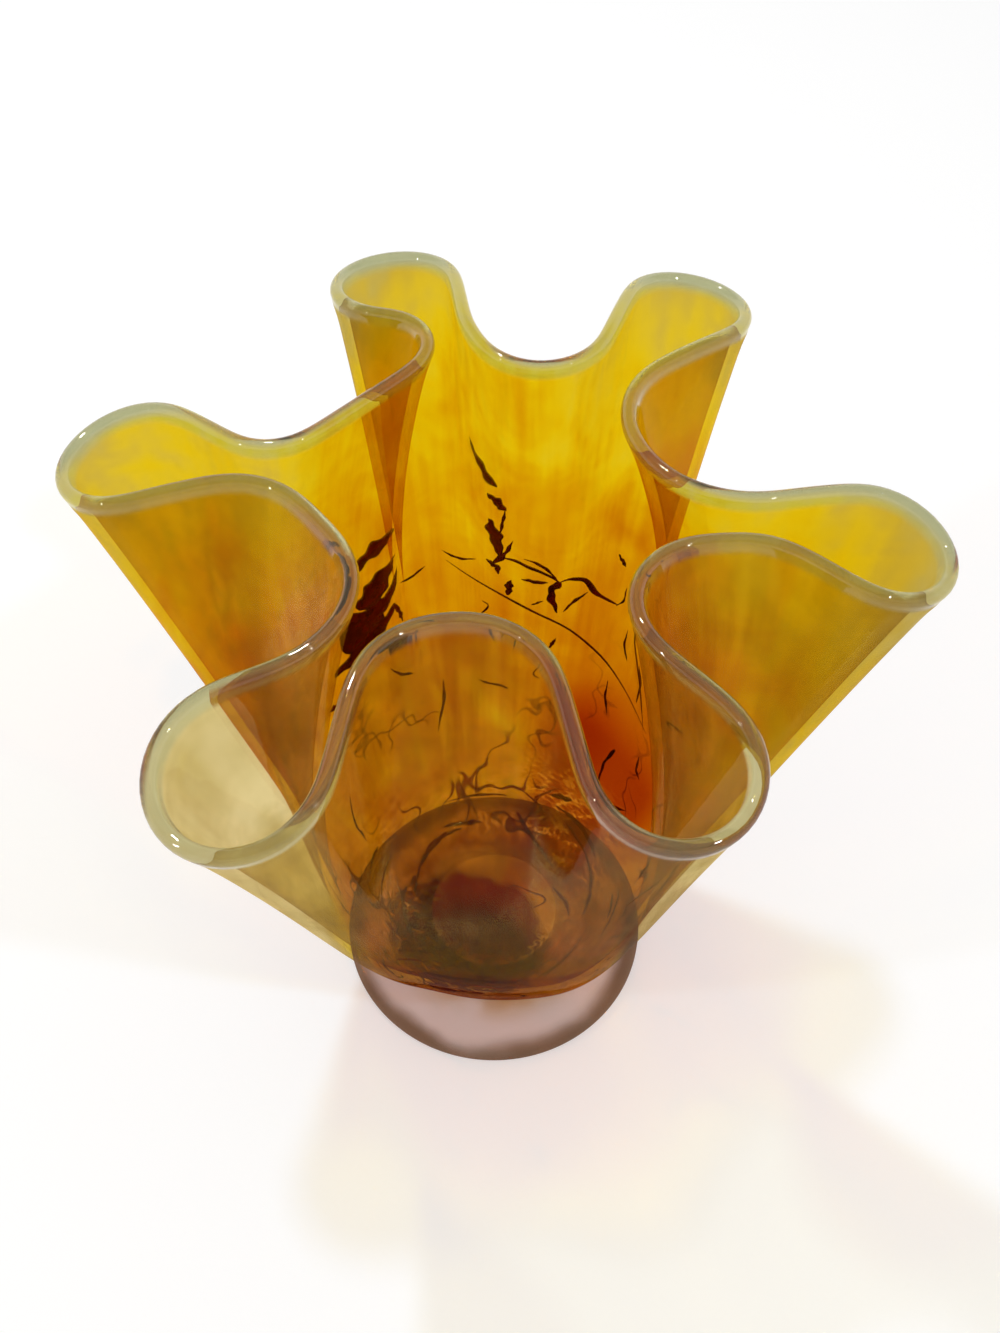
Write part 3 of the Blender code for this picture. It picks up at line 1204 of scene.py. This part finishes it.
    def ramp(self, lay: Nodes, depth: Socket) -> Socket:
        """The colour at that depth."""
        return lay.ramp(depth, tuple((at, screen_colour(*colour)) for at, colour in self.stops))

    def shade_colour(self, lay: Nodes, footing: Socket) -> Socket:
        """The tint of one face for shadows: the square root of the ramp at the plain colour depth, or
        of the foot's colour. No noise is worked out for it, which keeps the render short."""
        colour = lay.mixed(footing, self.ramp(lay, lay.stored("depth")), self.foot_colour)
        return lay.tinted(colour, self.one_face)

    def wall_colour(self, lay: Nodes, place: Socket, flow: Socket) -> Socket:
        """The wall's colour: the ramp at the colour depth, which clouds, streaks drawn up the wall
        and a fine grain shift, and do so less towards the bowl's floor and where it is clear.

        Args:
            lay: the material's nodes.
            place: the Object coordinates.
            flow: the direction round the axis, and the share of the height.

        Returns:
            The colour.
        """
        depth = lay.stored("depth")
        drawn = lay.add("ShaderNodeMapping", Vector=flow, Scale=self.streak_stretch).outputs["Vector"]
        shift = lay.math("MULTIPLY", lay.noise(place, self.clouds), self.cloud)
        shift = lay.math("MULTIPLY_ADD", lay.noise(drawn, self.streaks), self.streak, shift)
        shift = lay.math("MULTIPLY_ADD", lay.noise(place, self.grains), self.grain, shift)
        shift = lay.math("SUBTRACT", shift, 0.5 * (self.cloud + self.streak + self.grain))
        clear = lay.step(depth, *self.calm_clear)
        calm = lay.math("MULTIPLY_ADD", clear, -self.calming, lay.step(depth, *self.calm_deep))
        return self.ramp(lay, lay.math("MULTIPLY_ADD", shift, calm, depth))

    def smoked(self, lay: Nodes, place: Socket, colour: Socket) -> Socket:
        """The colour deepened in soft patches, as a gamma of 1 plus a share of noise over 0.5.

        Args:
            lay: the material's nodes.
            place: the Object coordinates.
            colour: the colour to deepen.

        Returns:
            The deepened colour.
        """
        patch = lay.math("MAXIMUM", lay.math("SUBTRACT", lay.noise(place, self.smoke), 0.5), 0.0)
        gamma = lay.math("MULTIPLY_ADD", patch, self.smoke_depth, 1.0)
        return lay.tinted(colour, gamma)

    def foot_tint(self, lay: Nodes, place: Socket, well: Socket) -> Socket:
        """The foot's colour: pinkish clear glass, with painted shade in a wavering brown band at its edge,
        stained amber in patches round the neck, and clearer under the bowl's own glass.

        Args:
            lay: the material's nodes.
            place: the Object coordinates.
            well: the mask of the maroon pool.

        Returns:
            The colour.
        """
        flat = lay.add("ShaderNodeVectorMath", {"operation": "MULTIPLY"}, i0=place, i1=(1.0, 1.0, 0.0))
        length = lay.add("ShaderNodeVectorMath", {"operation": "LENGTH"}, i0=flat.outputs["Vector"])
        radius = length.outputs["Value"]
        waver = lay.noise(place, self.foot_waver)
        wavered = lay.math("MULTIPLY_ADD", waver, self.foot_wavering, radius)
        patches = lay.step(waver, *self.foot_stain_patches)
        stain = lay.math("MULTIPLY", lay.step(wavered, *self.foot_stain), patches)
        tint = lay.mixed(stain, self.foot_colour, self.foot_stain_colour)
        # Painted shade: a wavering brown band darkens the clear glass at the foot's edge.
        tint = lay.mixed(lay.step(wavered, *self.foot_edge), tint, self.foot_edge_colour)
        under = lay.mixed(well, self.under_colour, self.well_colour)
        return lay.mixed(lay.step(radius, *self.foot_under), tint, under)

    @staticmethod
    def contour(lay: Nodes, value: Socket, width: float) -> Socket:
        """The mask of the line along which a noise has its middle value, within a width of it."""
        apart = lay.math("ABSOLUTE", lay.math("SUBTRACT", value, 0.5), 0.0)
        return lay.step(apart, width, 0.3 * width)

    def veins(self, lay: Nodes, flow: Socket, share: Socket) -> Socket:
        """The mask of pale veins low on the bowl: a contour of noise that lies flat round it, fading
        out with height and on the floor.

        Args:
            lay: the material's nodes.
            flow: the direction round the axis, and the share of the height.
            share: the share of the height.

        Returns:
            The mask.
        """
        scale = (1.0, 1.0, self.vein_flatness)
        laid = lay.add("ShaderNodeMapping", Vector=flow, Scale=scale).outputs["Vector"]
        line = self.contour(lay, lay.noise(laid, self.vein), self.vein_width)
        band = lay.math("MULTIPLY", lay.step(share, *self.vein_top), lay.step(share, *self.vein_floor))
        return lay.math("MULTIPLY", line, band)

    def crackle(self, lay: Nodes, place: Socket, share: Socket) -> Socket:
        """The mask of fine dark lines in the lower wall: a contour of noise, broken by another noise
        and fading out with height.

        Args:
            lay: the material's nodes.
            place: the Object coordinates.
            share: the share of the height.

        Returns:
            The mask.
        """
        line = self.contour(lay, lay.noise(place, self.crack), self.crack_width)
        gaps = lay.step(lay.noise(place, self.crack_gaps), *self.crack_gap_rise)
        return lay.math("MULTIPLY", lay.math("MULTIPLY", line, gaps), lay.step(share, *self.crack_top))


@dataclass(frozen=True)
class ThreadGlass:
    """The dark maroon glass of the threads, clouded with red."""

    stops: tuple[tuple[float, Colour], ...] = (
        (0.35, screen_colour(46, 8, 4)),
        (0.75, screen_colour(104, 22, 6)),
    )
    roughness: float = 0.25
    ior: float = 1.5
    ripple_scale: float = 180.0
    bump: Pair = (0.3, 0.0004)

    def material(self, ripple: bpy.types.NodeTree) -> bpy.types.Material:
        """Makes the material.

        Args:
            ripple: the group for the ripple of blown glass.

        Returns:
            The material.
        """
        material = bpy.data.materials.new("thread_glass")
        material.use_nodes = True
        lay = Nodes(material.node_tree)
        place = lay.add("ShaderNodeTexCoord").outputs["Object"]
        group = lay.add("ShaderNodeGroup", {"node_tree": ripple}, Vector=place, Scale=self.ripple_scale)
        swell = group.outputs["Height"]
        body = lay.add(
            "ShaderNodeBsdfPrincipled",
            Base_Color=lay.ramp(swell, self.stops),
            Roughness=self.roughness,
            IOR=self.ior,
            Normal=lay.bumped(swell, *self.bump),
        )
        lay.add("ShaderNodeOutputMaterial", Surface=body.outputs["BSDF"])
        return material


class Lamp(NamedTuple):
    """A square soft box: its azimuth and elevation in degrees, its distance and side in metres, and
    its power in watts."""

    turn: float
    elevation: float
    distance: float
    side: float
    power: float


@dataclass(frozen=True)
class Studio:
    """A white floor, a pale room and soft boxes."""

    floor_side: float = 12.0
    floor_drop: float = 0.3
    floor_colour: Colour = grey(0.76)
    floor_roughness: float = 0.9
    floor_glow: float = 0.31
    room_light: Colour = grey(0.5)
    sky: tuple[tuple[float, Colour], ...] = (
        (0.0, grey(1.0)),
        (0.45, grey(1.0)),
        (0.62, grey(0.30)),
        (1.0, grey(0.7)),
    )
    aim_height: float = 0.1
    glint: float = 4.0
    lamps: tuple[Lamp, ...] = (
        Lamp(120.0, 62.0, 1.5, 0.08, 7.0),
        Lamp(-35.0, 50.0, 1.6, 0.07, 4.5),
        Lamp(205.0, 35.0, 1.7, 0.07, 3.0),
    )

    @staticmethod
    def seen(lay: Nodes) -> Socket:
        """1 for rays from the camera and for those that glass and polish send on.

        Args:
            lay: the nodes of the material or world.

        Returns:
            The mask.
        """
        path = lay.add("ShaderNodeLightPath").outputs
        either = lay.math("MAXIMUM", path["Is Camera Ray"], path["Is Glossy Ray"])
        return lay.math("MAXIMUM", either, path["Is Transmission Ray"])

    def build_floor(self) -> bpy.types.Object:
        """Makes the floor: a pale matt sheet that glows a little to the camera, so it is white where
        the lamps reach it, and keeps the vase's shadow.

        Returns:
            The floor.
        """
        half = 0.5 * self.floor_side
        low = -self.floor_drop * MM
        corners = [(-half, -half, low), (half, -half, low), (half, half, low), (-half, half, low)]
        mesh = bpy.data.meshes.new("floor")
        mesh.from_pydata(corners, [], [(0, 1, 2, 3)])
        floor = placed("floor", mesh)
        material = bpy.data.materials.new("floor_paper")
        material.use_nodes = True
        lay = Nodes(material.node_tree)
        glow = lay.math("MULTIPLY", self.seen(lay), self.floor_glow)
        body = lay.add(
            "ShaderNodeBsdfPrincipled",
            Base_Color=self.floor_colour,
            Roughness=self.floor_roughness,
            Emission_Color=grey(1.0),
            Emission_Strength=glow,
        )
        lay.add("ShaderNodeOutputMaterial", Surface=body.outputs["BSDF"])
        mesh.materials.append(material)
        floor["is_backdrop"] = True
        return floor

    def build_room(self) -> None:
        """Lights the world: white round the horizon for what the camera sees, also through glass,
        dimmer overhead, and an even light for the rest."""
        world = bpy.data.worlds.new("room")
        bpy.context.scene.world = world
        world.use_nodes = True
        lay = Nodes(world.node_tree)
        way = lay.add("ShaderNodeTexCoord").outputs["Generated"]
        height = lay.add("ShaderNodeSeparateXYZ", Vector=way).outputs["Z"]
        colour = lay.mixed(self.seen(lay), self.room_light, lay.ramp(height, self.sky))
        back = lay.add("ShaderNodeBackground", Color=colour, Strength=1.0)
        lay.add("ShaderNodeOutputWorld", Surface=back.outputs["Background"])

    def build_lamps(self) -> None:
        """Hangs the soft boxes, each turned towards the middle of the vase."""
        target = Vector((0.0, 0.0, self.aim_height))
        for index, lamp in enumerate(self.lamps):
            turn, rise = math.radians(lamp.turn), math.radians(lamp.elevation)
            out = math.cos(rise)
            way = Vector((math.cos(turn) * out, math.sin(turn) * out, math.sin(rise)))
            data = bpy.data.lights.new(f"soft_box_{index}", "AREA")
            data.size, data.energy, data.specular_factor = lamp.side, lamp.power, self.glint
            box = placed(f"soft_box_{index}", data)
            box.location = target + way * lamp.distance
            box.rotation_euler = way.to_track_quat("Z", "Y").to_euler()

    def build(self) -> None:
        """Makes the floor, the room and the soft boxes."""
        self.build_floor()
        self.build_room()
        self.build_lamps()


def corners(bounds: tuple[Vector, Vector]) -> list[list[float]]:
    """A box's lowest and highest corner as plain lists."""
    return [list(corner) for corner in bounds]


def main() -> None:
    """Builds the camera, the studio, the glass and its threads, and notes the sizes."""
    logging.basicConfig(level=logging.INFO, format="%(name)s: %(message)s")
    scene = bpy.context.scene
    scene.view_settings.view_transform = "Standard"
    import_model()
    cad_box = corners(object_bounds())
    camera = PhotoCamera()
    camera.build()
    log.info("camera at %s mm", np.round(camera.place(), 1))
    Studio().build()
    log.info("studio with floor, room and soft boxes")
    ripple = glass_ripple()

    vase = Vase()
    glass = vase.build()
    glass.data.materials.append(AmberGlass().material(ripple))
    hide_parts("vase")
    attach(glass, "root")
    log.info("vase_glass: %d faces", len(glass.data.polygons))

    threads = Threads(vase.wall, camera).build()
    threads.data.materials.append(ThreadGlass().material(ripple))
    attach(threads, "root")
    log.info("threads: %d faces", len(threads.data.polygons))

    visual_box = corners(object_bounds())
    log.info("boxes: %s and %s", cad_box, visual_box)


if __name__ == "__main__":
    main()
